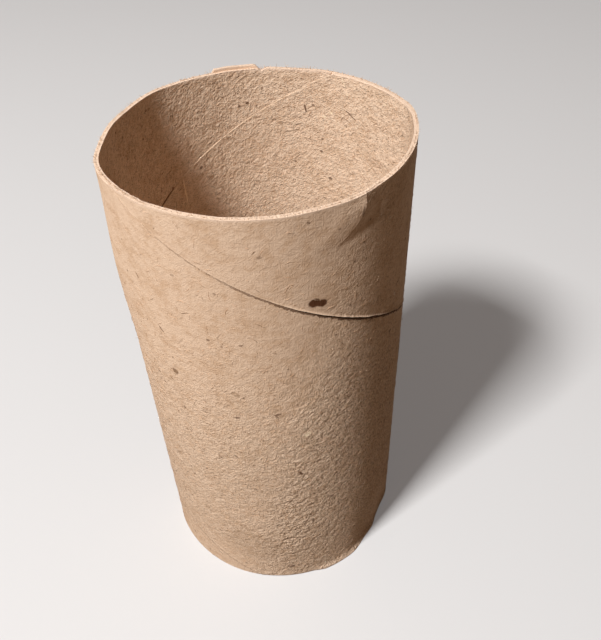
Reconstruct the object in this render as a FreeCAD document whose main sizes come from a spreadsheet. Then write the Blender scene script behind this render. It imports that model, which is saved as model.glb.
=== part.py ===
import FreeCAD, Part
import math
import os
import Sketcher

# A spent roll core: a thin tube of brown board, open at both ends and squeezed to a mild oval.
# Two strips of board are wound on a slant, one inside the other. The two edges of each strip
# meet in a seam that climbs round the tube as a left-handed helix.
# Lengths are in millimetres and angles in degrees. The origin is the middle of the foot, +Z runs
# up the tube, the oval is longest along X, and the front is towards -Y.

DRIVING_SIZES = {
    "tube_height": 94.0,
    "long_width": 48.2,
    "short_width": 42.9,
    "end_bend_radius": 10.0,
    "outer_ply_thickness": 0.35,
    "inner_ply_thickness": 0.35,
    "winding_angle": 30.7,
    "outer_seam_gap": 0.3,
    "inner_seam_gap": 0.3,
    "outer_seam_front_height": 77.3,
    "inner_seam_back_height": 83.6,
    "cut_margin": 2.0,
}

# The oval is four arcs: two tight end bends with their centres on X, and two wide side bends with
# their centres on Y. Every face of the wall is an offset of that oval, so the centres are shared.
# A face's depth is how far it lies inside the outer face.
OVAL_FORMULAS = {
    "end_centre": "long_width / 2 - end_bend_radius",
    "side_bend_radius": "(end_centre ^ 2 + (short_width / 2) ^ 2 - end_bend_radius ^ 2)"
                        " / (short_width - 2 * end_bend_radius)",
    "side_centre": "side_bend_radius - short_width / 2",
    "end_half_angle": "atan2(side_centre; end_centre) / 1 rad",
    "outside_perimeter": "4 * (end_half_angle * end_bend_radius"
                         " + (pi / 2 - end_half_angle) * side_bend_radius)",
    "outside_depth": "0",
    "meeting_depth": "outer_ply_thickness",
    "bore_depth": "meeting_depth + inner_ply_thickness",
}


def seam_formulas(ply, face_depth, back_depth, side_height):
    """The seam of one ply. One turn of the strip runs round the middle of the ply's thickness.

    The slot starts on the +X side, enough whole turns down to be clear of the foot, and climbs
    until it is clear of the rim.
    """
    return {
        f"{ply}_strip_run": f"outside_perimeter - pi * ({face_depth} + {back_depth})",
        f"{ply}_seam_pitch": f"{ply}_strip_run * tan(winding_angle)",
        f"{ply}_seam_slot": f"{ply}_seam_gap / cos(winding_angle)",
        f"{ply}_seam_side_height": side_height,
        f"{ply}_seam_turns_down": f"ceil(({ply}_seam_side_height + cut_margin) / {ply}_seam_pitch)",
        f"{ply}_seam_start": f"{ply}_seam_side_height - {ply}_seam_turns_down * {ply}_seam_pitch",
        f"{ply}_seam_climb": f"tube_height + cut_margin - {ply}_seam_start",
        f"{ply}_slot_inner_reach": f"short_width / 2 - {back_depth} - cut_margin",
        f"{ply}_slot_outer_reach": f"long_width / 2 - {face_depth} + cut_margin",
    }


WORKED_OUT_SIZES = {
    **OVAL_FORMULAS,
    **seam_formulas("outer", "outside_depth", "meeting_depth",
                    "outer_seam_front_height - outer_seam_pitch / 4"),
    **seam_formulas("inner", "meeting_depth", "bore_depth",
                    "inner_seam_back_height + inner_seam_pitch / 4"),
}


def fill_sheet(sheet):
    """Write the driving sizes as plain numbers and the worked out sizes as formulas."""
    cells = {name: str(number) for name, number in DRIVING_SIZES.items()}
    cells.update({name: "=" + formula for name, formula in WORKED_OUT_SIZES.items()})
    for row, (name, content) in enumerate(cells.items(), start=1):
        sheet.set(f"A{row}", name)
        sheet.set(f"B{row}", content)
        sheet.setAlias(f"B{row}", name)


def new_sketch(body, name, role):
    """An empty sketch on the origin plane of the body that has this role, such as XY_Plane."""
    plane = next(feature for feature in body.Origin.OriginFeatures if feature.Role == role)
    sketch = body.newObject("Sketcher::SketchObject", name)
    sketch.AttachmentSupport = [(plane, "")]
    sketch.MapMode = "FlatFace"
    return sketch


def dimension(sketch, name, expression, kind, *places):
    """Add a dimension to a sketch, name it and tie it to the sheet."""
    index = sketch.addConstraint(Sketcher.Constraint(kind, *places))
    sketch.renameConstraint(index, name)
    sketch.setExpression(f"Constraints.{name}", expression)


# How a constraint names a point of a curve, and the sketch's own axes.
START_INDEX, END_INDEX, CENTRE_INDEX = 1, 2, 3
X_AXIS_INDEX, Y_AXIS_INDEX = -1, -2


def draw_oval(sketch, sheet, face, depth):
    """Draw one face of the wall: four arcs, each tangent to the next, at a named depth."""
    end_radius = sheet.end_bend_radius - sheet.get(depth)
    side_radius = sheet.side_bend_radius - sheet.get(depth)
    corner = sheet.end_half_angle
    bends = [
        (sheet.end_centre, 0, end_radius, -corner, corner),
        (0, -sheet.side_centre, side_radius, corner, math.pi - corner),
        (-sheet.end_centre, 0, end_radius, math.pi - corner, math.pi + corner),
        (0, sheet.side_centre, side_radius, math.pi + corner, 2 * math.pi - corner),
    ]
    arcs = []
    for centre_x, centre_y, radius, start_angle, end_angle in bends:
        centre = FreeCAD.Vector(centre_x, centre_y, 0)
        circle = Part.Circle(centre, FreeCAD.Vector(0, 0, 1), radius)
        arcs.append(sketch.addGeometry(Part.ArcOfCircle(circle, start_angle, end_angle)))
    right, back, left, front = arcs
    for arc, following in ((right, back), (back, left), (left, front), (front, right)):
        sketch.addConstraint(Sketcher.Constraint("Tangent", arc, END_INDEX, following, START_INDEX))
    for arc, axis in ((right, X_AXIS_INDEX), (left, X_AXIS_INDEX), (back, Y_AXIS_INDEX)):
        sketch.addConstraint(Sketcher.Constraint("PointOnObject", arc, CENTRE_INDEX, axis))
    sketch.addConstraint(Sketcher.Constraint("Equal", right, left))
    sketch.addConstraint(Sketcher.Constraint("Equal", back, front))
    dimension(sketch, f"{face}_end_centre", "sizes.end_centre",
              "DistanceX", X_AXIS_INDEX, START_INDEX, right, CENTRE_INDEX, sheet.end_centre)
    dimension(sketch, f"{face}_end_radius", f"sizes.end_bend_radius - sizes.{depth}",
              "Radius", right, end_radius)
    dimension(sketch, f"{face}_side_radius", f"sizes.side_bend_radius - sizes.{depth}",
              "Radius", back, side_radius)


def draw_slot(sketch, sheet, ply):
    """Draw the upright section of the gap between the strip's edges, where the seam starts."""
    slot = sheet.get(f"{ply}_seam_slot")
    left = sheet.get(f"{ply}_slot_inner_reach")
    right = sheet.get(f"{ply}_slot_outer_reach")
    bottom = sheet.get(f"{ply}_seam_start") - slot / 2
    corners = [
        FreeCAD.Vector(left, bottom, 0),
        FreeCAD.Vector(right, bottom, 0),
        FreeCAD.Vector(right, bottom + slot, 0),
        FreeCAD.Vector(left, bottom + slot, 0),
    ]
    sides = []
    for corner, next_corner in zip(corners, corners[1:] + corners[:1]):
        sides.append(sketch.addGeometry(Part.LineSegment(corner, next_corner)))
    foot, outer_side, top, inner_side = sides
    for side, following in zip(sides, sides[1:] + sides[:1]):
        sketch.addConstraint(Sketcher.Constraint("Coincident", side, END_INDEX, following, START_INDEX))
    for side in (foot, top):
        sketch.addConstraint(Sketcher.Constraint("Horizontal", side))
    for side in (outer_side, inner_side):
        sketch.addConstraint(Sketcher.Constraint("Vertical", side))
    dimension(sketch, "inner_reach", f"sizes.{ply}_slot_inner_reach",
              "DistanceX", X_AXIS_INDEX, START_INDEX, foot, START_INDEX, left)
    dimension(sketch, "outer_reach", f"sizes.{ply}_slot_outer_reach",
              "DistanceX", X_AXIS_INDEX, START_INDEX, foot, END_INDEX, right)
    dimension(sketch, "slot", f"sizes.{ply}_seam_slot",
              "DistanceY", outer_side, START_INDEX, outer_side, END_INDEX, slot)
    dimension(sketch, "drop", f"-sizes.{ply}_seam_start + sizes.{ply}_seam_slot / 2",
              "DistanceY", foot, START_INDEX, X_AXIS_INDEX, START_INDEX, -bottom)


def make_ply(doc, sheet, ply, face_depth, back_depth):
    """One wound strip: an oval ring as tall as the tube, slit along its helical seam."""
    body = doc.addObject("PartDesign::Body", f"{ply}_ply")
    body.Label = f"{ply}_ply"
    ring = new_sketch(body, f"{ply}_ring", "XY_Plane")
    draw_oval(ring, sheet, "face", face_depth)
    draw_oval(ring, sheet, "back", back_depth)
    wall = body.newObject("PartDesign::Pad", f"{ply}_wall")
    wall.Profile = ring
    wall.setExpression("Length", "sizes.tube_height")
    doc.recompute()

    slot = new_sketch(body, f"{ply}_slot", "XZ_Plane")
    draw_slot(slot, sheet, ply)
    seam = body.newObject("PartDesign::SubtractiveHelix", f"{ply}_seam")
    seam.Profile = slot
    seam.ReferenceAxis = (slot, ["V_Axis"])
    seam.Mode = "pitch-height-angle"
    seam.LeftHanded = True
    seam.setExpression("Pitch", f"sizes.{ply}_seam_pitch")
    seam.setExpression("Height", f"sizes.{ply}_seam_climb")
    body.Tip = seam
    doc.recompute()
    return body


def check(doc, bodies):
    """Stop if any feature failed, or if a ply isn't one sound solid."""
    for feature in doc.Objects:
        if {"Invalid", "Error"} & set(feature.State):
            raise RuntimeError(f"{feature.Name} failed: {feature.State}")
    for body in bodies:
        shape = body.Shape
        if shape.isNull() or not shape.isValid() or len(shape.Solids) != 1:
            raise RuntimeError(f"{body.Label} isn't one valid solid")


def main():
    os.makedirs("parts", exist_ok=True)
    doc = FreeCAD.newDocument("roll_core")
    sheet = doc.addObject("Spreadsheet::Sheet", "sizes")
    fill_sheet(sheet)
    doc.recompute()
    plies = [
        make_ply(doc, sheet, "outer", "outside_depth", "meeting_depth"),
        make_ply(doc, sheet, "inner", "meeting_depth", "bore_depth"),
    ]
    check(doc, plies)
    for ply in plies:
        ply.Shape.exportStep(f"parts/{ply.Label}.step")


main()
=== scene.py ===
# The looks of a spent roll core: two strips of brown recycled board, wound one over the other into
# a short tube, with a ragged seam on the outside, another on the inside and a fuzzy cut rim.

import logging
import math
from dataclasses import dataclass, field
from enum import Enum
from typing import Callable, Optional, Union

import bpy
from mathutils import Matrix, Vector


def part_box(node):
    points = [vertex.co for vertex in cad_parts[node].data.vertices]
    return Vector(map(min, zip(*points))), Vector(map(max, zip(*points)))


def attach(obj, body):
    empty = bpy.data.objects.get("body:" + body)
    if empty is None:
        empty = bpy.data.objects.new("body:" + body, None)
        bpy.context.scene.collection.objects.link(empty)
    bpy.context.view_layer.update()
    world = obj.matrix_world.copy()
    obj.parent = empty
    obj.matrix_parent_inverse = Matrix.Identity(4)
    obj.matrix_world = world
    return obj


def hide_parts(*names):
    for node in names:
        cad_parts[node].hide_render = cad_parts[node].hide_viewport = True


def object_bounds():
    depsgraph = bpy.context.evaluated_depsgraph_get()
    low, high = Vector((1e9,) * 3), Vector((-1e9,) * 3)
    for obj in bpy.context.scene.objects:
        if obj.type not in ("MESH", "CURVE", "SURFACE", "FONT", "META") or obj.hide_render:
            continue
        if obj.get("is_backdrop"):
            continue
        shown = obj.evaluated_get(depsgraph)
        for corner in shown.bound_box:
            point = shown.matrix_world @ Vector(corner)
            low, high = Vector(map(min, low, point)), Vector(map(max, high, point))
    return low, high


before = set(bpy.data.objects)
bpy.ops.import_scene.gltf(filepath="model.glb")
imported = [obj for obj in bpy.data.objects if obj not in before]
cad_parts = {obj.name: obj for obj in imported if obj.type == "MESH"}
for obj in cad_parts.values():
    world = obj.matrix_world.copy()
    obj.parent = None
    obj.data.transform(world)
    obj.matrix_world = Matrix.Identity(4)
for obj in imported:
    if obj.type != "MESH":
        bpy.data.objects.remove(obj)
log = logging.getLogger("roll_core")

MM = 0.001
UNROLLED = "Unrolled"
CUT_EDGE = "cut_edge"
FIBRE = "fibre"
SHADE = "shade"
# The rim's height in mm, from which the marks, the dents and the torn edge are measured.
RIM = 94.0

Number = Union[int, float]
Colour = tuple[float, float, float]


def srgb(red: Number, green: Number, blue: Number) -> Colour:
    """The linear colour of an 8-bit screen colour.

    Args:
        red: Red, 0 to 255.
        green: Green, 0 to 255.
        blue: Blue, 0 to 255.

    Returns:
        The three linear parts, 0 to 1.
    """
    parts = []
    for part in (red, green, blue):
        share = part / 255
        parts.append(share / 12.92 if share <= 0.04045 else ((share + 0.055) / 1.055) ** 2.4)
    return tuple(parts)


def operator(operation: str, swapped: bool = False) -> Callable[["Wire", "Term"], "Wire"]:
    """Write an operator of Wire that stands for one Math node.

    Args:
        operation: The node's operation.
        swapped: Whether the wire is the second of its two terms.

    Returns:
        The operator.
    """
    def method(wire: "Wire", other: "Term") -> "Wire":
        """Add the node and give its result."""
        return wire.graph.maths(operation, *((other, wire) if swapped else (wire, other)))

    return method


class Wire:
    """One output socket of a node tree that can stand in a sum.

    Attributes:
        graph: The tree that the socket is in.
        socket: The output socket.
    """

    def __init__(self, graph: "Graph", socket: bpy.types.NodeSocket) -> None:
        """Wrap a socket of a tree."""
        self.graph = graph
        self.socket = socket

    __add__ = operator("ADD")
    __radd__ = operator("ADD", swapped=True)
    __sub__ = operator("SUBTRACT")
    __rsub__ = operator("SUBTRACT", swapped=True)
    __mul__ = operator("MULTIPLY")
    __rmul__ = operator("MULTIPLY", swapped=True)
    __truediv__ = operator("DIVIDE")
    __mod__ = operator("FLOORED_MODULO")
    __pow__ = operator("POWER")
    __lt__ = operator("LESS_THAN")
    __gt__ = operator("GREATER_THAN")
    least = operator("MINIMUM")
    most = operator("MAXIMUM")

    def __abs__(self) -> "Wire":
        """The size of self without its sign."""
        return self.graph.maths("ABSOLUTE", self)

    def between(self, low: "Term", high: "Term") -> "Wire":
        """self, kept from going below low or above high."""
        return self.most(low).least(high)


Term = Union[Wire, int, float]


class Graph:
    """A node tree, for geometry or a shader, and the ways of adding to it."""

    def __init__(self, tree: bpy.types.NodeTree) -> None:
        """Take an empty node tree."""
        self.tree = tree

    def node(self, kind: str, settings: Optional[dict] = None, **inputs: object) -> bpy.types.Node:
        """Add one node, set it up and feed it.

        Args:
            kind: The node's type.
            settings: Its properties. A ramp's stops are under the name "stops".
            inputs: Values or wires by socket name, with _ for a space, or by place as in_0, in_1.

        Returns:
            The node.
        """
        node = self.tree.nodes.new(kind)
        for name, value in (settings or {}).items():
            if name == "stops":
                self._set_stops(node, value)
            else:
                setattr(node, name, value)
        for name, value in inputs.items():
            self._feed(self._socket(node, name), value)
        return node

    def out(self, node: bpy.types.Node, name: Union[str, int] = 0) -> Wire:
        """One of a node's outputs, by name or by place."""
        return Wire(self, node.outputs[name])

    def maths(self, operation: str, *terms: Term) -> Wire:
        """A Math node.

        Args:
            operation: Its operation.
            terms: Its inputs in order.

        Returns:
            The result.
        """
        feeds = {f"in_{place}": term for place, term in enumerate(terms)}
        return self.out(self.node("ShaderNodeMath", {"operation": operation}, **feeds))

    def step(self, value: Term, low: Term, high: Term, to_low: Term = 0.0, to_high: Term = 1.0) -> Wire:
        """A smooth step of a value from one level to another.

        Args:
            value: What is measured.
            low: Where the step starts.
            high: Where it ends.
            to_low: The level before it.
            to_high: The level after it.

        Returns:
            The level at the value.
        """
        return self.out(self.node(
            "ShaderNodeMapRange", {"interpolation_type": "SMOOTHSTEP"},
            in_0=value, in_1=low, in_2=high, in_3=to_low, in_4=to_high))

    def hump(self, value: Wire, middle: Number, half_width: Number) -> Wire:
        """1 at the middle, falling smoothly to 0 at half_width on both sides."""
        return self.step(abs(value - middle), 0.0, half_width, 1.0, 0.0)

    def band(self, value: Wire, low: Number, high: Number, soft: Number) -> Wire:
        """1 between low and high, falling to 0 over the distance soft outside them."""
        return self.step(value, low - soft, low) * self.step(value, high, high + soft, 1.0, 0.0)

    def vector(self, x: Term = 0.0, y: Term = 0.0, z: Term = 0.0) -> Wire:
        """A vector of three numbers."""
        return self.out(self.node("ShaderNodeCombineXYZ", X=x, Y=y, Z=z))

    def parts(self, vector: Wire) -> tuple[Wire, Wire, Wire]:
        """The three numbers of a vector."""
        split = self.node("ShaderNodeSeparateXYZ", Vector=vector)
        return self.out(split, 0), self.out(split, 1), self.out(split, 2)

    def noise(self, vector: Wire, scale: Number, detail: Number, roughness: Number = 0.5) -> Wire:
        """Noise from 0 to 1 over a vector."""
        return self.out(self.node(
            "ShaderNodeTexNoise", {"noise_dimensions": "3D"},
            Vector=vector, Scale=scale, Detail=detail, Roughness=roughness))

    def mix(self, first: Union[Wire, Colour], second: Union[Wire, Colour], factor: Term) -> Wire:
        """The first colour turned into the second by a factor."""
        mixed = self.node("ShaderNodeMix", {"data_type": "RGBA"}, in_0=factor, in_6=first, in_7=second)
        return self.out(mixed, 2)

    def surface(self, kind: str = "ShaderNodeBsdfPrincipled", end: str = "ShaderNodeOutputMaterial",
                **inputs: object) -> None:
        """End a material or a world with its one shader."""
        self.node(end, Surface=self.out(self.node(kind, **inputs)))

    @staticmethod
    def _set_stops(node: bpy.types.Node, stops: list[tuple[float, tuple]]) -> None:
        """Put a ramp's stops in place of the two that it starts with.

        Args:
            node: The ramp.
            stops: The place and the colour of each stop.
        """
        elements = node.color_ramp.elements
        while len(elements) < len(stops):
            elements.new(0.5)
        for element, (place, colour) in zip(elements, stops):
            element.position = place
            element.color = (*colour, 1.0)

    @staticmethod
    def _socket(node: bpy.types.Node, name: str) -> bpy.types.NodeSocket:
        """An input socket, by place for in_0 and the like, else by name."""
        if name.startswith("in_"):
            return node.inputs[int(name[3:])]
        return node.inputs[name.replace("_", " ")]

    def _feed(self, socket: bpy.types.NodeSocket, value: object) -> None:
        """Link a wire to a socket, or set the socket's own value."""
        if isinstance(value, Wire):
            self.tree.links.new(value.socket, socket)
        elif isinstance(value, tuple) and len(value) == 3 and socket.type == "RGBA":
            socket.default_value = (*value, 1.0)
        else:
            socket.default_value = value


def emptied(owner: Union[bpy.types.Material, bpy.types.World]) -> Graph:
    """Switch on and empty the nodes of a material or a world.

    Args:
        owner: The material or the world.

    Returns:
        Its nodes.
    """
    owner.use_nodes = True
    owner.node_tree.nodes.clear()
    return Graph(owner.node_tree)


def added(name: str, data: object) -> bpy.types.Object:
    """Put a new object in the scene.

    Args:
        name: Its name.
        data: Its mesh, camera or light.

    Returns:
        The object.
    """
    thing = bpy.data.objects.new(name, data)
    bpy.context.scene.collection.objects.link(thing)
    return thing


class GeometryGraph(Graph):
    """A Geometry Nodes tree whose sizes are named inputs."""

    KINDS = {
        float: "NodeSocketFloat",
        int: "NodeSocketInt",
        bpy.types.Material: "NodeSocketMaterial",
    }

    def __init__(self, name: str, inputs: dict[str, object]) -> None:
        """Make the tree and its inputs.

        Args:
            name: The tree's name.
            inputs: The value of each named input.
        """
        super().__init__(bpy.data.node_groups.new(name, "GeometryNodeTree"))
        self.values: dict[str, object] = {}
        face = self.tree.interface
        face.new_socket("Geometry", in_out="INPUT", socket_type="NodeSocketGeometry")
        face.new_socket("Geometry", in_out="OUTPUT", socket_type="NodeSocketGeometry")
        for label, value in inputs.items():
            socket = face.new_socket(label, in_out="INPUT", socket_type=self.KINDS[type(value)])
            self.values[socket.identifier] = value
        self.start = self.tree.nodes.new("NodeGroupInput")
        self.end = self.tree.nodes.new("NodeGroupOutput")

    def __getitem__(self, label: str) -> Wire:
        """The tree's input of this name."""
        return Wire(self, self.start.outputs[label])

    def named(self, name: str) -> Wire:
        """The numbers that were kept on the geometry under a name."""
        return self.out(self.node("GeometryNodeInputNamedAttribute", {"data_type": "FLOAT"}, Name=name))

    def store(self, geometry: Wire, name: str, kind: str, domain: str, value: Wire) -> Wire:
        """Keep a value on the geometry under a name."""
        return self.out(self.node(
            "GeometryNodeStoreNamedAttribute", {"data_type": kind, "domain": domain},
            Geometry=geometry, Name=name, Value=value))

    def moved(self, geometry: Wire, place: Wire) -> Wire:
        """The geometry with each point at its new place."""
        return self.out(self.node("GeometryNodeSetPosition", Geometry=geometry, Position=place))

    def finish(self, geometry: Wire, flat_where: str = "") -> None:
        """End the tree: real geometry with its material.

        Args:
            geometry: What the tree made.
            flat_where: The attribute that marks faces to leave unsmoothed, if any.
        """
        real = self.out(self.node("GeometryNodeRealizeInstances", Geometry=geometry))
        chosen = self.named(flat_where) < 0.5 if flat_where else True
        smooth = self.out(self.node("GeometryNodeSetShadeSmooth", Geometry=real, Selection=chosen))
        dressed = self.out(self.node("GeometryNodeSetMaterial", Geometry=smooth, Material=self["Material"]))
        self.tree.links.new(dressed.socket, self.end.inputs["Geometry"])

    def bake(self, name: str) -> bpy.types.Object:
        """Run the tree once and keep its result as a plain mesh.

        Args:
            name: The new piece's name.

        Returns:
            The piece, with no modifier left.
        """
        piece = added(name, bpy.data.meshes.new(f"{name}_start"))
        modifier = piece.modifiers.new(name, "NODES")
        modifier.node_group = self.tree
        for identifier, value in self.values.items():
            modifier[identifier] = value
        depsgraph = bpy.context.evaluated_depsgraph_get()
        mesh = bpy.data.meshes.new_from_object(piece.evaluated_get(depsgraph), depsgraph=depsgraph)
        piece.modifiers.clear()
        piece.data = mesh
        mesh.name = name
        return piece


@dataclass(frozen=True)
class Oval:
    """The tube's section: two tight end bends on X joined by two wide side bends on Y.

    Attributes:
        long_width: Outside width along X.
        short_width: Outside width along Y.
        end_radius: Outside radius of the end bends.
    """

    long_width: float
    short_width: float
    end_radius: float = 10.0 * MM

    @property
    def end_centre(self) -> float:
        """How far each end bend's centre lies from the middle."""
        return self.long_width / 2 - self.end_radius

    @property
    def side_radius(self) -> float:
        """The outside radius of the side bends."""
        half = self.short_width / 2
        return (self.end_centre ** 2 + half ** 2 - self.end_radius ** 2) / (2 * (half - self.end_radius))

    @property
    def side_centre(self) -> float:
        """How far each side bend's centre lies beyond the middle."""
        return self.side_radius - self.short_width / 2

    @property
    def half_angle(self) -> float:
        """Half the angle of an end bend."""
        return math.atan2(self.side_centre, self.end_centre)

    @property
    def perimeter(self) -> float:
        """The length once round the outside."""
        ends = self.half_angle * self.end_radius
        sides = (math.pi / 2 - self.half_angle) * self.side_radius
        return 4 * (ends + sides)


class Side(Enum):
    """Which way a seam runs past the middle of its named side, in turns from +X."""

    FRONT = -0.25
    BACK = 0.25


@dataclass(frozen=True)
class Mark:
    """A fleck, stain, painted shade or painted highlight on the board, by its place on the unrolled outside.

    Attributes:
        along: Distance round the tube from +X, in mm.
        height: Height in mm.
        length: Length in mm.
        width: Width in mm.
        turn: Angle of its length from level, in degrees.
        strength: How much of its colour shows, 0 to 1.
        colour: Its colour, if it isn't that of the board's dark flecks.
    """

    along: float
    height: float
    length: float
    width: float
    turn: float = 0.0
    strength: float = 1.0
    colour: Optional[Colour] = None


STAIN = srgb(150, 118, 88)
# Painted highlight: a near-white colour for the small glints painted where light catches the board.
PAINTED_GLINT = srgb(255, 234, 204)

OUTER_MARKS = (
    Mark(108.4, 78.0, 1.9, 1.7, 0.0, 1.0, srgb(90, 58, 38)),
    Mark(109.6, 77.6, 1.6, 1.4, 0.0, 1.0, srgb(90, 58, 38)),
    Mark(84.6, 60.9, 1.3, 1.2, 0.0, 0.75, srgb(120, 90, 62)),
    Mark(95.4, 59.6, 1.8, 1.0, -30.0, 0.5, STAIN),
    Mark(95.2, 53.7, 1.0, 0.5, 20.0, 0.7),
    Mark(101.9, 54.7, 1.4, 0.5, 15.0, 0.7),
    Mark(101.7, 54.2, 0.9, 0.4, -60.0, 0.6),
    Mark(105.2, 37.3, 1.7, 0.5, -60.0, 0.85),
    Mark(111.0, 26.6, 1.1, 0.9, 0.0, 0.6),
    Mark(107.2, 20.5, 0.5, 1.4, 0.0, 0.6),
    Mark(94.0, 42.6, 1.0, 0.4, -50.0, 0.55),
    Mark(96.7, 33.0, 1.0, 0.4, -20.0, 0.5),
    Mark(102.3, 3.8, 1.8, 1.2, 0.0, 0.6),
    Mark(83.4, 69.8, 1.6, 0.4, -50.0, 0.6),
    Mark(79.9, 57.6, 0.7, 0.5, 0.0, 0.6),
    Mark(92.2, 71.3, 0.6, 0.5, 0.0, 0.6),
    Mark(97.2, 71.0, 0.6, 0.5, 0.0, 0.5),
    Mark(124.9, 61.8, 0.9, 0.7, 0.0, 0.6),
    Mark(88.0, 82.7, 0.8, 0.4, 0.0, 0.4),
    Mark(101.1, 87.7, 0.8, 0.5, 0.0, 0.45),
    # Painted shadow: a dark stroke in the nick where the crease meets the rim.
    Mark(115.9, 91.2, 1.8, 0.4, 80.0, 0.6),
    # Painted highlights: glints on the outside.
    Mark(106.7, 48.2, 1.6, 0.8, 40.0, 0.8, PAINTED_GLINT),
    Mark(111.0, 10.8, 1.0, 0.6, 20.0, 0.6, PAINTED_GLINT),
    Mark(94.8, 12.0, 13.0, 11.0, -20.0, 0.18, STAIN),
)

INNER_MARKS = (
    # Painted shade: a dark stroke along the inner seam's lower-left stretch, which lies in shade.
    Mark(51.4, 74.4, 5.5, 0.4, -30.5, 0.85),
    Mark(30.3, 90.3, 0.5, 0.4, 0.0, 0.6),
    Mark(30.3, 89.3, 0.4, 0.4, 0.0, 0.5),
    Mark(33.1, 87.7, 0.7, 0.5, 40.0, 0.8),
    Mark(34.6, 87.4, 0.5, 0.5, 0.0, 0.7),
    Mark(31.5, 87.0, 0.7, 0.3, -60.0, 0.5),
    Mark(22.7, 86.8, 1.7, 0.4, 80.0, 0.8),
    Mark(21.2, 87.5, 0.6, 0.5, 0.0, 0.6),
    Mark(19.8, 78.7, 0.6, 0.5, 0.0, 0.7),
    Mark(19.6, 81.2, 0.5, 0.4, 0.0, 0.6),
    Mark(18.0, 73.4, 0.9, 0.6, 0.0, 0.8),
    Mark(43.0, 77.2, 0.7, 0.6, 0.0, 0.7),
    # Painted highlights: small glints and thin bright streaks inside.
    Mark(19.2, 85.6, 0.7, 0.5, 0.0, 0.8, PAINTED_GLINT),
    Mark(17.9, 86.6, 0.6, 0.5, 0.0, 0.8, PAINTED_GLINT),
    Mark(14.8, 90.6, 0.5, 0.4, 0.0, 0.5, PAINTED_GLINT),
    Mark(6.6, 91.5, 0.5, 0.4, 0.0, 0.5, PAINTED_GLINT),
    Mark(13.9, 87.0, 2.8, 0.3, 32.0, 0.6),
    Mark(15.6, 92.8, 2.2, 0.3, 70.0, 0.5, PAINTED_GLINT),
    Mark(46.9, 73.8, 5.4, 0.35, 88.0, 0.7, PAINTED_GLINT),
)


@dataclass(frozen=True)
class Crease:
    """A sharp fold in the wall that runs down from the rim and curves aside.

    Attributes:
        along: Where it meets the rim, in mm round the tube.
        bend_height: The height where it starts to curve aside, in mm.
        slant: How far it goes aside for each square mm of the way down.
        low: The height where it has faded out, in mm.
        far_slope: How steeply the wall falls away on its far side.
        near_slope: How steeply it rises on its near side.
    """

    along: float
    bend_height: float
    slant: float
    low: float
    far_slope: float
    near_slope: float

    def past(self, around: Wire, height: Wire) -> Wire:
        """How far a place lies beyond the fold, all in mm."""
        return around - (self.along - (self.bend_height - height).most(0.0) ** 2.0 * self.slant)

    def depth(self, around: Wire, height: Wire) -> Wire:
        """How far the face falls away sharply to both sides of the fold, to come back slowly.

        Args:
            around: The distance round the tube, in mm.
            height: The height, in mm.

        Returns:
            The depth in mm.
        """
        past = self.past(around, height)
        depth = 0.0
        for reach, slope in ((11.0, self.far_slope), (-4.0, self.near_slope)):
            share = (past / reach).between(0.0, 1.0)
            depth = share * (1.0 - share) ** 2.0 * (slope * abs(reach)) + depth
        return depth * past.graph.step(height, self.low, self.low + 5.0)


RIM_CREASE = Crease(116.5, 93.0, 0.123, 86.0, 0.55, 0.1)


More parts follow.
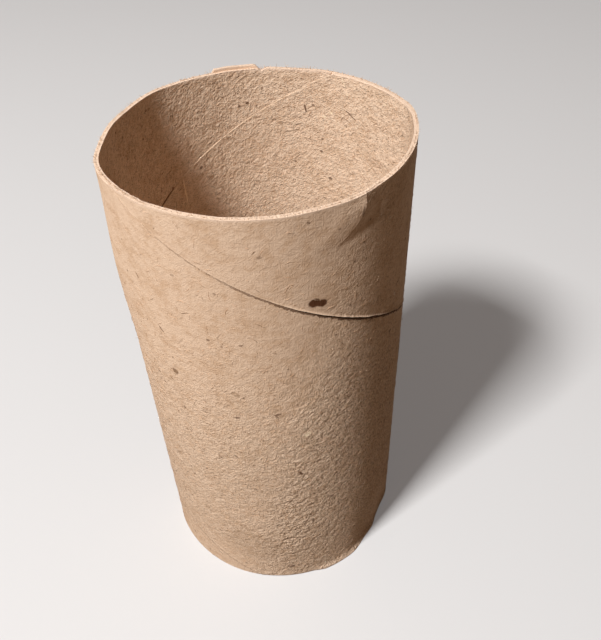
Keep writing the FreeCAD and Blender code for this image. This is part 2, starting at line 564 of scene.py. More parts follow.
@dataclass(frozen=True)
class BoardFinish:
    """Brown recycled board: matted fibres, a slant grain, flecks and a pale torn edge, with light and shade
    painted along its seam and among its fibres.

    Heights of the relief are in mm.

    Attributes:
        name: The material's name.
        ground: The board's main colour.
        deep: The colour of its darker clouds.
        pale: The colour of its light fibres, and of painted highlights on the felt's tips and the seam's
            lip.
        dark: The colour of its dark fibres and flecks, and of painted shade between fibres, in the felt's
            crevices and in some marks.
        edge: The colour of the cut edge.
        grain_turn: The grain's angle from level, in degrees.
        ripple: How high the slant ripples stand.
        ripples_per_mm: How many of them there are to a millimetre.
        felt: How high the uneven felt stands.
        thread: How high the matted fibres stand.
        calm_above: The height over which the surface grows smoother.
        calm: What is left of its relief at the top.
        rough_side: Where round the tube the rougher side starts at the foot.
        rough_lean: How much further round it starts at the rim.
        rough: How much rougher that side is.
        seam_shading: The light and shade painted along the seam: dark for the shadow under the outer seam's
            lip and in its gap, pale for the highlight on the inner seam's edge.
        seam_reach: How far from the strip's edges that colour goes.
        seam_from: Where along the strip it starts to show.
        seam_to: Where it shows fully.
        seam_widest: Where it is at its widest.
        seam_end: Where it closes up again.
        seam_strength: How much of it shows there, 0 to 1.
        lip: How much paler the lip over the seam is, 0 to 1, partly as its torn edge and partly as a painted
            highlight where it curls up into the light.
        creases: Folds with a place of their own.
        marks: Flecks, stains, painted shade and painted highlights with a place of their own.
    """

    name: str
    ground: Colour = srgb(221, 193, 168)
    deep: Colour = srgb(196, 162, 131)
    pale: Colour = srgb(246, 224, 202)
    dark: Colour = srgb(86, 52, 28)
    edge: Colour = srgb(229, 204, 183)
    grain_turn: float = 0.0
    ripple: float = 0.1
    ripples_per_mm: float = 1.5
    felt: float = 0.16
    thread: float = 0.05
    calm_above: float = 36.0
    calm: float = 1.0
    rough_side: float = 90.0
    rough_lean: float = 22.0
    rough: float = 1.0
    # Painted shade along the seam; the inside's board swaps it for a painted highlight.
    seam_shading: Colour = srgb(88, 58, 36)
    seam_reach: float = 0.2
    seam_from: float = 0.0
    seam_to: float = 1.0
    seam_widest: float = 1.0
    seam_end: float = 90.0
    seam_strength: float = 0.9
    lip: float = 0.0
    creases: tuple[Crease, ...] = ()
    marks: tuple[Mark, ...] = ()

    def make(self, perimeter: float, seam_start: float, pitch: float) -> bpy.types.Material:
        """Build the material.

        Args:
            perimeter: The length once round the outside, after which a mark comes back.
            seam_start: The height of the strip's lower edge at +X.
            pitch: How far the seam falls in one turn.

        Returns:
            The material.
        """
        material = bpy.data.materials.new(self.name)
        board = BoardShading(self, emptied(material), perimeter / MM, seam_start / MM, pitch / MM)
        bump = board.graph.node("ShaderNodeBump", Strength=1.0, Distance=MM, Height=board.relief())
        board.graph.surface(
            Base_Color=board.colour(), Roughness=0.95, Specular_IOR_Level=0.12, Normal=board.graph.out(bump))
        return material


@dataclass
class BoardShading:
    """The nodes of one board's material, which work in mm on the unrolled outside.

    Attributes:
        look: The finish.
        graph: The material's nodes.
        perimeter: The length once round the outside.
        seam_start: The height of the strip's lower edge at +X.
        pitch: How far the seam falls in one turn.
        along: The distance along the strip.
        height: The height.
        around: The distance round the tube from +X.
        flat: The place on the unrolled outside.
        cut: 1 on the strip's cut faces, else 0.
        lively: How rough the board is, 1 as it was made and less where it is rubbed.
        fibres: Where the matted fibres lie, 0 to 1.
        felt: How thick the felt is, 0 to 1.
    """

    look: BoardFinish
    graph: Graph
    perimeter: float
    seam_start: float
    pitch: float

    def __post_init__(self) -> None:
        """Find the place, and what the colour and the relief share."""
        graph = self.graph
        along, height, _ = graph.parts(graph.out(graph.node("ShaderNodeUVMap", {"uv_map": UNROLLED})))
        self.along = along / MM
        self.height = height / MM
        self.around = self.along % self.perimeter
        self.flat = graph.vector(self.along, self.height)
        self.cut = graph.out(graph.node("ShaderNodeAttribute", {"attribute_name": CUT_EDGE}), "Fac")
        self.lively = self._liveliness()
        self.fibres = self._strokes((8.0, 58.0, -44.0), per_mm=4.6, squeeze=4.0, low=0.5, high=0.74)
        self.felt = self._noise(2.4, 1.0, 0.62)

    def colour(self) -> Wire:
        """The board's colour with its torn edges and the light and shade painted along its seam.

        Returns:
            The colour.
        """
        look = self.look
        mix = self.graph.mix
        step = self.graph.step
        above_seam = self.height - self.seam_start + self.along * (self.pitch / self.perimeter)
        below_seam = self.pitch - above_seam
        seam_along = self.along - (above_seam > below_seam) * self.perimeter
        opened = step(seam_along, look.seam_to, look.seam_widest)
        # Paler lip over the seam: partly its torn edge, partly a painted highlight where it curls up into
        # the light.
        colour = mix(self._plain(), look.pale, step(above_seam, 0.1, 0.35, look.lip, 0.0) * opened)
        # Painted shade: the seam's colour darkens the strip's edge under the lip, as the lip's shadow, and
        # the gap's cut faces; inside it is a pale painted highlight.
        colour = mix(colour, look.seam_shading, self._seam(below_seam, seam_along))
        colour = mix(colour, look.seam_shading, self.cut * opened * look.seam_strength)
        torn = mix(look.edge, look.deep, self._noise(5.0, 2.0) * 0.3)
        in_wall = (self.height > 0.4) * (self.height < RIM - 1.0)
        at_rim = step(self.height + self._noise(1.5, 2.0) * 0.3, RIM - 0.4, RIM)
        return mix(colour, torn, (self.cut * (1.0 - in_wall)).most(at_rim))

    def relief(self) -> Wire:
        """The height of the surface, from fibres, felt, slant ripples and folds.

        Returns:
            The height in mm.
        """
        look = self.look
        threads = self.fibres * look.thread * self.lively.least(1.4)
        ripples = self.graph.noise(self._turned(look.grain_turn, 1.7, 3.1), look.ripples_per_mm, 1.0, 0.55)
        lumps = self._noise(0.7, 1.0) * 0.19
        matted = (self.felt * look.felt + ripples * look.ripple + lumps) * self.lively
        torn = self._noise(3.0, 3.0, 0.6) * 0.3
        relief = (threads + matted) * (1.0 - self.cut) + torn * self.cut
        for crease in look.creases:
            relief = relief - crease.depth(self.around, self.height)
        return relief

    def _noise(self, per_mm: float, detail: float, roughness: float = 0.5) -> Wire:
        """Noise from 0 to 1 over the board."""
        return self.graph.noise(self.flat, per_mm, detail, roughness)

    def _turned(self, turn: float, squeeze: float, layer: float) -> Wire:
        """The place turned by some degrees and squeezed that way, in a layer of its own."""
        return self.graph.out(self.graph.node(
            "ShaderNodeMapping", {"vector_type": "TEXTURE"},
            Vector=self.flat, Location=(0.0, 0.0, layer), Rotation=(0.0, 0.0, math.radians(turn)),
            Scale=(squeeze, 1.0, 1.0)))

    def _strokes(self, turns: tuple[float, ...], per_mm: float, squeeze: float, low: float,
                 high: float) -> Wire:
        """Short straight fibres lying along several directions.

        Args:
            turns: Their directions, in degrees from the grain's.
            per_mm: How many could lie side by side in a millimetre.
            squeeze: How much longer than wide they are.
            low: The noise level at which a fibre starts.
            high: The level at which it stands fully.

        Returns:
            How much of a fibre is at the place, 0 to 1.
        """
        total = None
        for layer, turn in enumerate(turns):
            space = self._turned(turn + self.look.grain_turn, squeeze, 7.3 * layer + per_mm * squeeze)
            stroke = self.graph.step(self.graph.noise(space, per_mm, 0.0), low, high)
            total = stroke if total is None else total.most(stroke)
        return total

    def _liveliness(self) -> Wire:
        """How much of its full relief the board has.

        Returns:
            The share, over 1 on the rough side.
        """
        look = self.look
        step = self.graph.step
        rubbed = step(self.height, look.calm_above, look.calm_above + 42.0, 1.0, look.calm)
        foot = step(self.height, 5.0, 15.0, 0.55, 1.0)
        side = self.around - self.height * (look.rough_lean / RIM) - look.rough_side
        rough = step(side, 0.0, 12.0) * step(self.around, 124.0, 138.0, 1.0, 0.0)
        return rubbed * foot * (1.0 + rough * (look.rough - 1.0))

    def _seam(self, away: Wire, along: Wire) -> Wire:
        """Where the painted seam shading shows.

        Args:
            away: The distance from an edge of the strip.
            along: The distance along that edge.

        Returns:
            The share, 0 to 1.
        """
        look = self.look
        step = self.graph.step
        broken = step(self._noise(0.9, 1.0), 0.42, 0.52, 0.25, 1.0)
        shown = step(along, look.seam_from, look.seam_to, 0.15, 0.6) * look.seam_strength
        shown = shown * broken.most(step(along, look.seam_from + 8.0, look.seam_to + 8.0))
        shown = shown * step(along, look.seam_to, look.seam_widest, 1.0, 1.6)
        shown = shown * step(along, look.seam_end, look.seam_end + 20.0, 1.0, 0.1)
        widened = step(along, look.seam_to, look.seam_widest, 0.9, 2.0) * look.seam_reach
        uneven = ((self._noise(1.6, 3.0, 0.75) - 0.5) * 3.4 + 1.0).most(0.0) * widened
        return step(away, uneven, uneven + 0.12, 1.0, 0.0) * shown

    def _plain(self) -> Wire:
        """The board's colour: clouds, light and dark fibres, flecks and marks, with painted shade between
        fibres and in the felt's crevices and painted highlights on its tips.

        Returns:
            The colour.
        """
        look = self.look
        step = self.graph.step
        worn = self.lively.least(1.0)
        # Painted shade in the felt's crevices and painted highlights on its tips, stronger on the rough side
        # where the light grazes.
        crevice_shading = (self.lively - 0.9).between(0.0, 1.6)
        clouds = self._noise(0.22, 3.0, 0.6) * 0.5 + self._noise(0.75, 3.0, 0.6) * 0.5
        fine = self._noise(4.4, 1.0, 0.6)
        # Painted shade: dark strokes for the shadow in the gaps between fibres.
        gap_shade = self._strokes((-14.0, 30.0, 74.0), per_mm=4.4, squeeze=3.5, low=0.62, high=0.8)
        dark_fibres = self._strokes((-30.0, 20.0), per_mm=2.8, squeeze=6.0, low=0.79, high=0.84)
        layers = [
            (look.deep, step(clouds, 0.42, 0.64) * 0.7),
            (look.pale, step(fine, 0.5, 0.72) * (worn * 0.3 + 0.1)),
            (look.deep, step(fine, 0.5, 0.3) * (worn * 0.5 + 0.15)),
            (look.pale, self.fibres * worn * 0.3),
            (look.dark, gap_shade * worn * 0.35),
            (look.dark, step(self.felt, 0.52, 0.3) * crevice_shading * 0.3),
            (look.pale, step(self.felt, 0.54, 0.72) * crevice_shading * 0.45),
            (look.dark, dark_fibres * (worn * 0.3 + 0.1)),
            (look.dark, self._flecks() * 0.6),
        ]
        layers.extend((mark.colour or look.dark, self._mark(mark)) for mark in look.marks)
        colour = look.ground
        for tint, share in layers:
            colour = self.graph.mix(colour, tint, share)
        return colour

    def _flecks(self) -> Wire:
        """Small ragged flecks scattered over the board.

        Returns:
            Where they show, 0 to 1.
        """
        graph = self.graph
        cells = graph.node("ShaderNodeTexVoronoi", Vector=self.flat, Scale=0.42, Randomness=1.0)
        lot, size, _ = graph.parts(graph.out(cells, "Color"))
        far = graph.out(cells, "Distance") + (self._noise(4.0, 1.0) - 0.5) * 0.12
        return graph.step(far, size * 0.05 + 0.02, size * 0.08 + 0.07, 1.0, 0.0) * (lot > 0.45)

    def _mark(self, mark: Mark) -> Wire:
        """Where one mark shows, with a ragged outline.

        Args:
            mark: The mark.

        Returns:
            The share, 0 to 1.
        """
        angle = math.radians(mark.turn)
        across = self.around - mark.along
        up = self.height - mark.height
        lengthwise = (across * math.cos(angle) + up * math.sin(angle)) / (mark.length / 2)
        crosswise = (up * math.cos(angle) - across * math.sin(angle)) / (mark.width / 2)
        reach = (lengthwise * lengthwise + crosswise * crosswise) ** 0.5
        ragged = reach + (self._noise(2.2, 2.0) - 0.5) * (0.4 if mark.width > 1.2 else 0.8)
        return self.graph.step(ragged, 0.75, 1.15, mark.strength, 0.0)


@dataclass(frozen=True)
class FibreFinish:
    """Loose paper fibres that stand out of the board, each of its own shade.

    Attributes:
        name: The material's name.
        pale: The colour of the lightest.
        middle: The colour of most.
        dark: The colour of the darkest.
    """

    name: str
    pale: Colour = srgb(238, 214, 188)
    middle: Colour = srgb(208, 174, 143)
    dark: Colour = srgb(112, 80, 56)

    def make(self) -> bpy.types.Material:
        """Build the material.

        Returns:
            The material.
        """
        material = bpy.data.materials.new(self.name)
        graph = emptied(material)
        shade = graph.out(graph.node("ShaderNodeAttribute", {"attribute_name": SHADE}), "Fac")
        stops = [(0.06, self.dark), (0.12, self.middle), (0.6, self.middle), (1.0, self.pale)]
        tint = graph.out(graph.node("ShaderNodeValToRGB", {"stops": stops}, Fac=shade))
        graph.surface(Base_Color=tint, Roughness=0.85, Specular_IOR_Level=0.15)
        return material


@dataclass
class Wall:
    """What every piece on the tube's wall shares: the oval, its dents and the way round it.

    Attributes:
        name: The piece's name.
        oval: The tube's outside section.
        height: The tube's height.
        slot: The record's material slot. It is not used.
        graph: The nodes that make the piece.
    """

    name: str
    oval: Oval
    height: float
    slot: str
    graph: GeometryGraph = field(init=False, repr=False)

    def start(self, craft: str, inputs: dict[str, object]) -> None:
        """Begin the piece's node tree, with the oval's sizes among its inputs."""
        self.graph = GeometryGraph(f"{self.name}_{craft}", {
            "Height": self.height,
            "Perimeter": self.oval.perimeter,
            "End Centre": self.oval.end_centre,
            "End Radius": self.oval.end_radius,
            "Side Centre": self.oval.side_centre,
            "Side Radius": self.oval.side_radius,
            "Half Angle": self.oval.half_angle,
            **inputs,
        })

    def wrap(self, along: Wire, height: Term, outwards: Term) -> Wire:
        """The place in space of a point on the unrolled tube.

        Args:
            along: The distance round the outside, from +X.
            height: The height.
            outwards: How far outside the oval it lies.

        Returns:
            The place.
        """
        graph = self.graph
        quarter = graph["Perimeter"] * 0.25
        quarters = graph.maths("FLOOR", along / quarter)
        rest = along - quarters * quarter
        rest = rest + (quarter - rest * 2.0) * (quarters % 2.0)
        end_run = graph["Half Angle"] * graph["End Radius"]
        on_end = rest < end_run
        end_turn = rest / graph["End Radius"]
        side_turn = graph["Half Angle"] + (rest - end_run) / graph["Side Radius"]
        turn = side_turn + (end_turn - side_turn) * on_end
        reach = graph["Side Radius"] + (graph["End Radius"] - graph["Side Radius"]) * on_end + outwards
        x_now = graph["End Centre"] * on_end + reach * graph.maths("COSINE", turn)
        y_now = reach * graph.maths("SINE", turn) - graph["Side Centre"] * (1.0 - on_end)
        turned = quarters % 4.0
        flip_x = 1.0 - 2.0 * ((turned > 0.5) * (turned < 2.5))
        flip_y = 1.0 - 2.0 * (turned > 1.5)
        return graph.vector(x_now * flip_x, y_now * flip_y, height)

    def dents(self, along: Wire, height: Wire) -> Wire:
        """How far the wall stands out of the plain oval, from handling.

        Args:
            along: The distance round.
            height: The height.

        Returns:
            The distance outwards.
        """
        graph = self.graph
        around = along % graph["Perimeter"] / MM
        level = height / MM
        shape = (graph.noise(self.wrap(along, height, 0.0), 45.0, 1.0, 0.5) - 0.5) * 0.12
        shape = shape + graph.hump(around, 72.0, 9.0) * graph.hump(level, 74.0, 18.0) * 0.45
        at_rim = graph.step(level, 80.0, RIM)
        for middle, half_width, push in ((49.0, 10.0, 0.45), (25.0, 8.0, -0.35), (67.0, 8.0, -0.4)):
            shape = shape + graph.hump(around, middle, half_width) * at_rim * push
        low_right = graph.band(around, 122.0, 129.0, 6.0) * graph.step(level, 0.0, 16.0, 1.0, 0.0)
        shape = shape - low_right * 0.85
        lip = graph.step(level, 0.0, 1.7, 1.0, 0.0)
        shape = shape + lip * lip * (graph.band(around, 110.0, 124.0, 3.5) * 0.5 + 0.06)
        crease = RIM_CREASE.past(around, level)
        left_slope = graph.step(crease, -7.0, 0.2) * (crease < 0.2)
        right_slope = graph.step(crease, 0.2, 3.0, 1.0, 0.0) * (crease > 0.2)
        near_rim = graph.step(level, 86.0, 91.5) * graph.step(level, 91.5, 94.2, 1.0, 0.3)
        return (shape + (left_slope + right_slope) * near_rim * 0.42) * MM

    def place(self, piece: bpy.types.Object, *nodes: str) -> bpy.types.Object:
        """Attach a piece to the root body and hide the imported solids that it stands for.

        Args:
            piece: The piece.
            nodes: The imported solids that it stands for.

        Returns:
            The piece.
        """
        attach(piece, "root")
        if nodes:
            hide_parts(*nodes)
        return piece


@dataclass
class WoundPly(Wall):
    """One strip of board wound on a slant round the oval, edge to edge with itself.

    Attributes:
        node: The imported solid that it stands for.
        face_depth: How far its outer face lies inside the tube's outside.
        back_depth: How far its inner face does.
        winding_angle: The seam's angle from level, in degrees.
        side: The side at which the seam's height is known.
        seam_height: The seam's height there.
        seam_gap: The widest gap between the strip's edges.
        open_from: Where along the strip the seam starts to open.
        open_to: Where it is fully open.
        finish: Its board.
        lift_above: How far the edge above the seam curls outwards.
        lift_below: How far the edge below the seam curls outwards.
        burr: How far the rim's torn flap stands up.
        columns: Mesh columns along the strip.
        rows: Mesh rows across it.
    """

    node: str
    face_depth: float
    back_depth: float
    winding_angle: float
    side: Side
    seam_height: float
    seam_gap: float
    open_from: float
    open_to: float
    finish: BoardFinish
    lift_above: float = 0.0
    lift_below: float = 0.0
    burr: float = 0.0
    columns: int = 640
    rows: int = 72

    @property
    def pitch(self) -> float:
        """How far the seam falls in one turn."""
        middle = self.oval.perimeter - math.pi * (self.face_depth + self.back_depth)
        return middle * math.tan(math.radians(self.winding_angle))

    def build(self) -> bpy.types.Object:
        """Wind the strip and dress it.

        Returns:
            The piece.
        """
        seam_start = self.seam_height + self.side.value * self.pitch
        self.start("winding", {
            "Face Depth": self.face_depth,
            "Back Depth": self.back_depth,
            "Pitch": self.pitch,
            "Seam Height": seam_start,
            "Seam Gap": self.seam_gap,
            "Open From": self.open_from,
            "Open To": self.open_to,
            "Lift Above": self.lift_above,
            "Lift Below": self.lift_below,
            "Burr": self.burr,
            "Columns": self.columns,
            "Rows": self.rows,
            "Seed": 5.0,
            "Material": self.finish.make(self.oval.perimeter, seam_start, self.pitch),
        })
        self._wind()
        return self.place(self.graph.bake(self.name), self.node)

    def _wind(self) -> None:
        """Add the nodes that wrap a flat slab of board round the oval."""
        graph = self.graph
        slab = graph.node("GeometryNodeMeshCube", Size=(1.0, 1.0, 1.0), Vertices_X=graph["Columns"],
                          Vertices_Y=graph["Rows"], Vertices_Z=2)
        place = graph.out(graph.node("GeometryNodeInputPosition"))
        run, width, depth = (part + 0.5 for part in graph.parts(place))
        _, _, upright = graph.parts(graph.out(graph.node("GeometryNodeInputNormal")))
        cut = graph.store(graph.out(slab, "Mesh"), CUT_EDGE, "FLOAT", "FACE", abs(upright) < 0.5)
        along, height, above_seam, below_seam = self._unrolled(run, width)
        mapped = graph.store(cut, UNROLLED, "FLOAT2", "CORNER", graph.vector(along, height))
        inset = graph["Back Depth"] + (graph["Face Depth"] - graph["Back Depth"]) * depth
        outwards = self.dents(along, height) + self._curl(along, above_seam, below_seam) - inset
        moved = graph.moved(mapped, self.wrap(along, self._torn_ends(along, height), outwards))
        merged = graph.out(graph.node("GeometryNodeMergeByDistance", Geometry=moved, Distance=0.002 * MM))
        graph.finish(merged, CUT_EDGE)

    def _unrolled(self, run: Wire, width: Wire) -> tuple[Wire, Wire, Wire, Wire]:
        """The place of each point on the unrolled tube.

        Args:
            run: 0 to 1 along the strip.
            width: 0 to 1 across it, from its lower edge.

        Returns:
            The distance round, the height, and the distances from the strip's lower and upper edge.
        """
        graph = self.graph
        tall = graph["Height"]
        perimeter = graph["Perimeter"]
        pitch = graph["Pitch"]
        start = graph["Seam Height"]
        slope = pitch / perimeter
        blunt = 0.5 * MM
        top_end = (start - tall) / slope
        length = (start + pitch) / slope - top_end - 2 * blunt
        along = top_end + blunt + run * length
        half_column = length / (graph["Columns"] - 1) * 0.5
        for corner in (start / slope, (start + pitch - tall) / slope):
            near = abs(along - corner) < half_column
            along = along + (corner - along) * near
        lower = start - along * slope
        upper = lower + pitch
        low = (lower + self._gap(along, 0.0)).between(0.0, tall)
        high = (upper - self._gap(along - perimeter, 3.0)).between(0.0, tall)
        eased = graph.step(width, 0.0, 1.0) * 0.82 + width * 0.18
        height = low + (high - low) * eased
        return along, height, height - lower, upper - height

    def _gap(self, along: Wire, layer: float) -> Wire:
        """How far one torn edge of the strip lies from the seam's line.

        Args:
            along: The distance along the edge.
            layer: A number that keeps its tears apart from the other edge's.

        Returns:
            The distance.
        """
        graph = self.graph
        opened = graph.step(along, graph["Open From"], graph["Open To"], 0.25, 1.0)
        gap = graph["Seam Gap"] * opened * graph.step(along, 30 * MM, 60 * MM, 1.0, 0.2)
        tear = graph.noise(graph.vector(along, graph["Seed"] + layer), 520.0, 2.0, 0.6)
        return gap * (0.5 + (tear - 0.5) * 0.9)

    def _curl(self, along: Wire, above_seam: Wire, below_seam: Wire) -> Wire:
        """How far the strip's edges curl away from the ply under them.

        Args:
            along: The distance along the strip.
            above_seam: The distance from its lower edge.
            below_seam: The distance from its upper edge.

        Returns:
            The distance outwards.
        """
        graph = self.graph
        reach = 0.6 * MM
        upper_lip = graph.step(above_seam, 0.0, reach, 1.0, 0.0)
        lower_lip = graph.step(below_seam, 0.0, reach, 1.0, 0.0)
        opened = graph.step(along, graph["Open From"], graph["Open To"], 0.05, 1.0)
        calm_end = graph.step(along, -14 * MM, -4 * MM, 1.0, 0.25)
        uneven = graph.noise(graph.vector(along, graph["Seed"], 4.0), 320.0, 2.0) + 0.5
        above = graph["Lift Above"] * upper_lip * upper_lip * opened * calm_end
        return (above + graph["Lift Below"] * lower_lip * lower_lip) * uneven

    def _torn_ends(self, along: Wire, height: Wire) -> Wire:
        """The height with the unevenness of the cut rim and foot.

        Args:
            along: The distance round.
            height: The height of a clean cut.

        Returns:
            The height.
        """
        graph = self.graph
        around = along % graph["Perimeter"] / MM
        ring = self.wrap(along, 0.0, 0.0)
        fine = graph.noise(ring, 900.0, 3.0, 0.7)
        slow = graph.noise(ring, 130.0, 2.0, 0.5)
        teeth = graph.band(around, 72.0, 84.0, 4.0) * 0.35 + 0.16
        dip = (fine * teeth + slow * 0.3) * MM
        flap = graph["Burr"] * graph.step(around, 30.8, 31.3) * graph.step(around, 38.2, 38.7, 1.0, 0.0)
        nick = graph.hump(around, 30.2, 0.9) * (0.5 * MM)
        at_rim = graph.step(height, graph["Height"] - 1.8 * MM, graph["Height"])
        at_foot = graph.step(height, 0.0, 1.5 * MM, 1.0, 0.0)
        return height + at_rim * (flap - dip - nick) + at_foot * (fine * 0.12 * MM)


@dataclass
class FibreMat(Wall):
    """Loose fibres on the wall, each a thin bent thread that tapers to both ends.

    Attributes:
        count: How many there are before the mat is thinned out.
        length: Their mean length.
        thickness: Their mean radius.
        low: The lowest root.
        high: The highest root.
        turn: Their main direction, in degrees from level.
        spread: How far their directions spread about it, in degrees.
        rise: How far their free ends stand off the wall, at most.
        arch: How far their middles do, at most.
        curl: How far they bend, at most, in degrees.
        finish: Their finish.
        seed: The seed of all their sizes.
        facing: 1 on the outside, -1 on the inside.
        depth: How far the wall's face lies inside the tube's outside.
        full_below: The height below which the mat is full.
        share_above: The share that is left at the top.
    """

    count: int
    length: float
    thickness: float
    low: float
    high: float
    turn: float
    spread: float
    rise: float
    arch: float
    curl: float
    finish: FibreFinish
    seed: float
    facing: float = 1.0
    depth: float = 0.0
    full_below: float = 0.0
    share_above: float = 1.0

    def build(self) -> bpy.types.Object:
        """Grow the mat.

        Returns:
            The piece.
        """
        self.start("growth", {
            "Count": self.count,
            "Length": self.length,
            "Thickness": self.thickness,
            "Facing": self.facing,
            "Depth": self.depth,
            "Low": self.low,
            "High": self.high,
            "Turn": math.radians(self.turn),
            "Spread": math.radians(self.spread),
            "Rise": self.rise,
            "Arch": self.arch,
            "Curl": math.radians(self.curl),
            "Full Below": self.full_below,
            "Share Above": self.share_above,
            "Seed": self.seed,
            "Material": self.finish.make(),
        })
        self._grow()
        return self.place(self.graph.bake(self.name))

    def _lots(self, number: Wire, draw: int) -> tuple[Wire, Wire, Wire]:
        """Three chance numbers for each fibre, others at each draw."""
        place = self.graph.vector(number, self.graph["Seed"] + float(draw))
        dice = self.graph.node("ShaderNodeTexWhiteNoise", {"noise_dimensions": "3D"}, Vector=place)
        return self.graph.parts(self.graph.out(dice, "Color"))

    def _roots(self, number: Wire) -> tuple[Wire, Wire]:
        """Where each fibre starts: the distance round and the height."""
        graph = self.graph
        place, level, _ = self._lots(number, 1)
        return place * graph["Perimeter"], graph["Low"] + (graph["High"] - graph["Low"]) * level

    def _grow(self) -> None:
        """Add the nodes that set out the fibres and bend each along its own line."""
        graph = self.graph
        index = graph.out(graph.node("GeometryNodeInputIndex"))
        line = graph.node("GeometryNodeMeshLine", Count=graph["Count"], Offset=(0.0, 0.0, 0.0))
        _, root_height = self._roots(index)
        share = graph.step(root_height, graph["Full Below"], graph["High"], 1.0, graph["Share Above"])
        _, _, chance = self._lots(index, 1)
        thinned = graph.node("GeometryNodeDeleteGeometry", {"domain": "POINT"},
                             Geometry=graph.store(graph.out(line), FIBRE, "FLOAT", "POINT", index),
                             Selection=chance > share)
        thread = graph.node("GeometryNodeMeshCylinder", {"fill_type": "NGON"},
                            Vertices=3, Side_Segments=4, Radius=1.0, Depth=1.0)
        sown = graph.out(graph.node(
            "GeometryNodeInstanceOnPoints", Points=graph.out(thinned), Instance=graph.out(thread)))
        real = graph.out(graph.node("GeometryNodeRealizeInstances", Geometry=sown))

        number = graph.named(FIBRE)
        _, _, shade = self._lots(number, 4)
        shaded = graph.store(real, SHADE, "FLOAT", "POINT", shade)
        across, outer, run = graph.parts(graph.out(graph.node("GeometryNodeInputPosition")))
        mapped = graph.store(shaded, "OFBake", "FLOAT2", "CORNER", self._bake_cell(number, outer, run))
        graph.finish(graph.moved(mapped, self._bent(number, across, outer, run)))

    def _bake_cell(self, number: Wire, outer: Wire, run: Wire) -> Wire:
        """A small cell for each fibre on its own UV map, named OFBake.

        Args:
            number: The fibre's number.
            outer: The point's place across the fibre.
            run: Its place along the fibre.

        Returns:
            Its place on the map.
        """
        cells = math.ceil(math.sqrt(self.count))
        column = number % cells
        row = self.graph.maths("FLOOR", number / cells)
        return self.graph.vector((column + 0.5 + run * 0.7) / cells, (row + 0.5 + outer * 0.35) / cells)

    def _bent(self, number: Wire, across: Wire, outer: Wire, run: Wire) -> Wire:
        """The place of each point of a fibre.

        Args:
            number: The fibre's number.
            across: The point's place across the fibre, 1 at its skin.
            outer: Its place square to that.
            run: Its place along the fibre, -0.5 to 0.5.

        Returns:
            The place in space.
        """
        graph = self.graph
        root_along, root_height = self._roots(number)
        aim, stretch, bend = self._lots(number, 2)
        lean, hump, girth = self._lots(number, 3)
        length = graph["Length"] * (0.5 + stretch * stretch * 1.3)
        heading = graph["Turn"] + (aim - 0.5) * graph["Spread"]
        part = run + 0.5
        gone = part * length
        turned = (bend - 0.5) * 2.0 * graph["Curl"] * part
        ahead = gone * (1.0 - turned * turned / 6.0)
        aside = gone * turned * 0.5 * (1.0 - turned * turned / 12.0)
        aside = aside + graph.maths("SINE", part * 6.0 + hump * 6.0) * length * 0.05
        taper = 1.0 - (run * 2.0) ** 2.0 * 0.7
        radius = graph["Thickness"] * (0.6 + girth * 0.8) * taper
        way = heading + turned
        level, steep = graph.maths("COSINE", heading), graph.maths("SINE", heading)
        side_step = across * radius * graph["Facing"]
        along = root_along + ahead * level - aside * steep - graph.maths("SINE", way) * side_step
        height = root_height + ahead * steep + aside * level + graph.maths("COSINE", way) * side_step
        off_wall = graph["Rise"] * lean ** 3.0 * part * part
        off_wall = off_wall + graph["Arch"] * hump * part * (1.0 - part) * 4.0 + outer * radius
        outwards = self.dents(along, height) + off_wall * graph["Facing"] - graph["Depth"]
        return self.wrap(along, height.most(0.02 * MM), outwards)


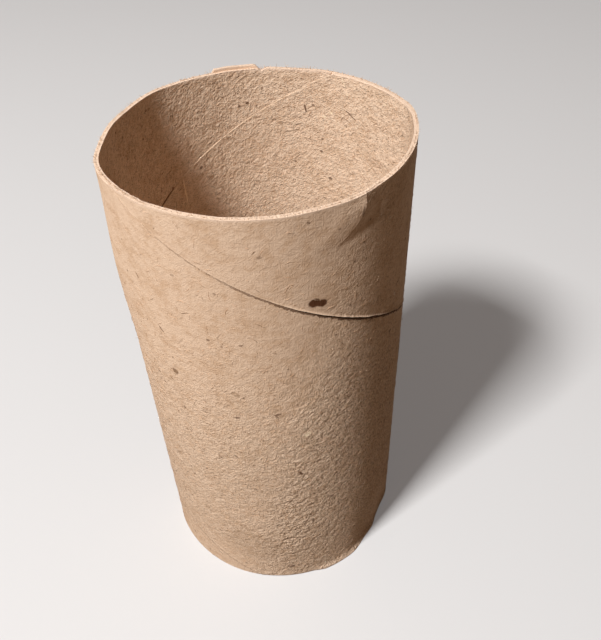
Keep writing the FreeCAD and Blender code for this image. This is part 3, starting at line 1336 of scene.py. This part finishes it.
@dataclass(frozen=True)
class Studio:
    """The camera, the lamp, the floor and the room.

    Attributes:
        lens: The lens in mm, for a sensor of 36 mm on the longer side.
        distance: From the camera to the point it turns about.
        depression: How far the camera looks down, in degrees.
        roll: Its roll, in degrees.
        azimuth: Where it stands, in degrees from -Y towards -X.
        aim: The point it turns about, across and up from the tube's middle.
        lamp_azimuth: The lamp's direction as the camera sees the tube, in degrees from +X.
        lamp_elevation: Its height, in degrees.
        lamp_distance: Its distance from the tube's middle.
        lamp_size: Its side.
        lamp_power: Its power in watts.
    """

    lens: float = 41.28
    distance: float = 134.4 * MM
    depression: float = 44.15
    roll: float = -2.26
    azimuth: float = 13.3
    aim: tuple[float, float] = (5.08 * MM, 8.14 * MM)
    lamp_azimuth: float = -135.0
    lamp_elevation: float = 54.0
    lamp_distance: float = 0.9
    lamp_size: float = 0.155
    lamp_power: float = 11.6

    def build(self, tube_height: float) -> None:
        """Make the camera, the floor and the lights for a tube of this height."""
        bpy.context.scene.view_settings.view_transform = "Standard"
        middle = Vector((0, 0, tube_height / 2))
        self._camera(middle)
        self._floor()
        self._lamp(middle)
        self._world()

    def _turn(self, place: Vector) -> Vector:
        """A place given in front of the camera, turned into the tube's frame."""
        return Matrix.Rotation(math.radians(-self.azimuth), 3, "Z") @ place

    def _camera(self, middle: Vector) -> None:
        """Stand the camera where the photograph was taken from.

        Args:
            middle: The tube's middle.
        """
        dip = math.radians(self.depression)
        lean = math.radians(self.roll)
        ahead = Vector((0, math.cos(dip), -math.sin(dip)))
        level = Vector((1, 0, 0))
        upward = Vector((0, math.sin(dip), math.cos(dip)))
        right = level * math.cos(lean) + upward * math.sin(lean)
        top = upward * math.cos(lean) - level * math.sin(lean)
        across, up = self.aim
        place = middle + Vector((across, 0, up)) - ahead * self.distance
        axes = [self._turn(axis) for axis in (right, top, -ahead)]
        data = bpy.data.cameras.new("camera")
        data.lens = self.lens
        data.clip_start = 0.005
        camera = added("camera", data)
        camera.matrix_world = Matrix.Translation(self._turn(place)) @ Matrix(axes).transposed().to_4x4()
        bpy.context.scene.camera = camera

    def _lamp(self, middle: Vector) -> None:
        """Add a square lamp that faces the tube.

        Args:
            middle: The tube's middle.
        """
        data = bpy.data.lights.new("key_lamp", "AREA")
        data.size = self.lamp_size
        data.energy = self.lamp_power
        data.color = (1.0, 0.985, 0.96)
        around = math.radians(self.lamp_azimuth)
        up = math.radians(self.lamp_elevation)
        ray = Vector((math.cos(around) * math.cos(up), math.sin(around) * math.cos(up), math.sin(up)))
        lamp = added("key_lamp", data)
        lamp.location = self._turn(ray * self.lamp_distance) + middle
        lamp.rotation_euler = (lamp.location - middle).to_track_quat("Z", "Y").to_euler()

    @staticmethod
    def _seen(graph: Graph) -> Wire:
        """1 for what the camera or a reflection sees, 0 for the light that falls on the tube."""
        rays = graph.node("ShaderNodeLightPath")
        return graph.out(rays, "Is Camera Ray").most(graph.out(rays, "Is Glossy Ray"))

    def _floor(self) -> None:
        """Lay a wide pale floor."""
        half = 3.0
        mesh = bpy.data.meshes.new("floor")
        corners = [(-half, -half, 0), (half, -half, 0), (half, half, 0), (-half, half, 0)]
        mesh.from_pydata(corners, [], [(0, 1, 2, 3)])
        floor = added("floor", mesh)
        material = bpy.data.materials.new("pale_floor")
        graph = emptied(material)
        seen = self._seen(graph)
        place = graph.out(graph.node("ShaderNodeNewGeometry"), "Position")
        away = graph.out(graph.node("ShaderNodeVectorMath", {"operation": "LENGTH"}, in_0=place), "Value")
        lift = graph.mix((0.12, 0.123, 0.128), (0.86, 0.86, 0.86), graph.step(away, 0.3, 1.4))
        glow = graph.mix((0.0, 0.0, 0.0), lift, seen)
        colour = graph.mix((0.19, 0.138, 0.098), (0.57, 0.57, 0.58), seen)
        graph.surface(
            Base_Color=colour, Roughness=0.9, Specular_IOR_Level=0.1, Emission_Color=glow,
            Emission_Strength=1.0)
        mesh.materials.append(material)
        floor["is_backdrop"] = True

    def _world(self) -> None:
        """Light the scene faintly and warmly from all round."""
        world = bpy.data.worlds.new("soft_room")
        graph = emptied(world)
        colour = graph.mix((0.095, 0.058, 0.033), (0.95, 0.95, 0.95), self._seen(graph))
        graph.surface("ShaderNodeBackground", "ShaderNodeOutputWorld", Color=colour, Strength=1.0)
        bpy.context.scene.world = world


@dataclass
class RollCore:
    """The whole tube.

    Attributes:
        oval: Its outside section.
        height: Its height.
        ply: The thickness of each ply.
        winding_angle: The seams' angle from level, in degrees.
    """

    oval: Oval
    height: float
    ply: float = 0.35 * MM
    winding_angle: float = 30.7

    def build(self) -> None:
        """Build both plies and the fibres on them."""
        outside = {"oval": self.oval, "height": self.height, "slot": "outer_board"}
        inside = {**outside, "slot": "inner_board"}
        loose = FibreFinish("loose_fibre")
        torn = FibreFinish("torn_fibre", dark=srgb(196, 164, 134))
        parts = (
            WoundPly(
                name="wound_outer_ply", **outside, node="outer_ply", face_depth=0.0, back_depth=self.ply,
                winding_angle=self.winding_angle, side=Side.FRONT, seam_height=77.3 * MM, seam_gap=0.32 * MM,
                open_from=-42 * MM, open_to=-31 * MM, lift_above=0.3 * MM, burr=0.6 * MM,
                finish=BoardFinish(
                    name="outer_board", grain_turn=32.0, ripple=0.13, felt=0.11, thread=0.07, calm=0.22,
                    rough=4.0, seam_from=-61.0, seam_to=-51.0, seam_widest=-32.0, seam_end=20.0,
                    seam_reach=0.23, lip=0.2, creases=(RIM_CREASE,), marks=OUTER_MARKS)),
            WoundPly(
                name="wound_inner_ply", **inside, node="inner_ply", face_depth=self.ply,
                back_depth=2 * self.ply, winding_angle=self.winding_angle, side=Side.BACK,
                seam_height=83.6 * MM, seam_gap=0.05 * MM, open_from=36 * MM, open_to=56 * MM,
                lift_below=-0.03 * MM,
                finish=BoardFinish(
                    name="inner_board", ground=srgb(224, 197, 172), grain_turn=-42.0, ripple=0.11,
                    # The inner seam's pale colour is a painted highlight along the seam's edge.
                    ripples_per_mm=2.0, felt=0.08, thread=0.045, seam_shading=srgb(240, 214, 184),
                    seam_reach=0.12, seam_from=22.0, seam_to=36.0, seam_widest=42.0, seam_end=44.0,
                    seam_strength=0.5, marks=INNER_MARKS)),
            FibreMat(
                name="outer_fibre_mat", **outside, count=9000, length=1.0 * MM, thickness=0.024 * MM,
                low=0.5 * MM, high=93 * MM, turn=25.0, spread=150.0, rise=0.15 * MM, arch=0.05 * MM,
                curl=40.0, finish=loose, seed=11.0, full_below=40 * MM, share_above=0.05),
            FibreMat(
                name="inner_fibre_mat", **inside, count=4500, length=0.9 * MM, thickness=0.024 * MM,
                low=0.5 * MM, high=93 * MM, turn=-38.0, spread=100.0, rise=0.3 * MM, arch=0.06 * MM,
                curl=40.0, finish=loose, seed=23.0, facing=-1.0, depth=2 * self.ply),
            FibreMat(
                name="rim_fuzz", **outside, count=2600, length=0.45 * MM, thickness=0.02 * MM,
                low=93.2 * MM, high=93.8 * MM, turn=90.0, spread=180.0, rise=0.7 * MM, arch=0.1 * MM,
                curl=100.0, finish=torn, seed=37.0, depth=self.ply),
            FibreMat(
                name="stray_hairs", **outside, count=160, length=1.7 * MM, thickness=0.02 * MM,
                low=8 * MM, high=92 * MM, turn=60.0, spread=300.0, rise=1.1 * MM, arch=0.2 * MM,
                curl=60.0, finish=torn, seed=51.0),
        )
        for part in parts:
            piece = part.build()
            log.info("%s: %d faces", piece.name, len(piece.data.polygons))


def corners(box: tuple[Vector, Vector]) -> list[list[float]]:
    """A box as plain lists of numbers."""
    return [list(corner) for corner in box]


def main() -> None:
    """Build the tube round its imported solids, then the studio."""
    logging.basicConfig(level=logging.INFO, format="%(name)s: %(message)s")
    cad_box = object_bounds()
    low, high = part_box("outer_ply")
    size = high - low
    core = RollCore(oval=Oval(48.2 * MM, 42.9 * MM), height=size.z)
    core.build()
    Studio().build(size.z)
    {"cad": corners(cad_box), "visual": corners(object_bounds())}


if __name__ == "__main__":
    main()
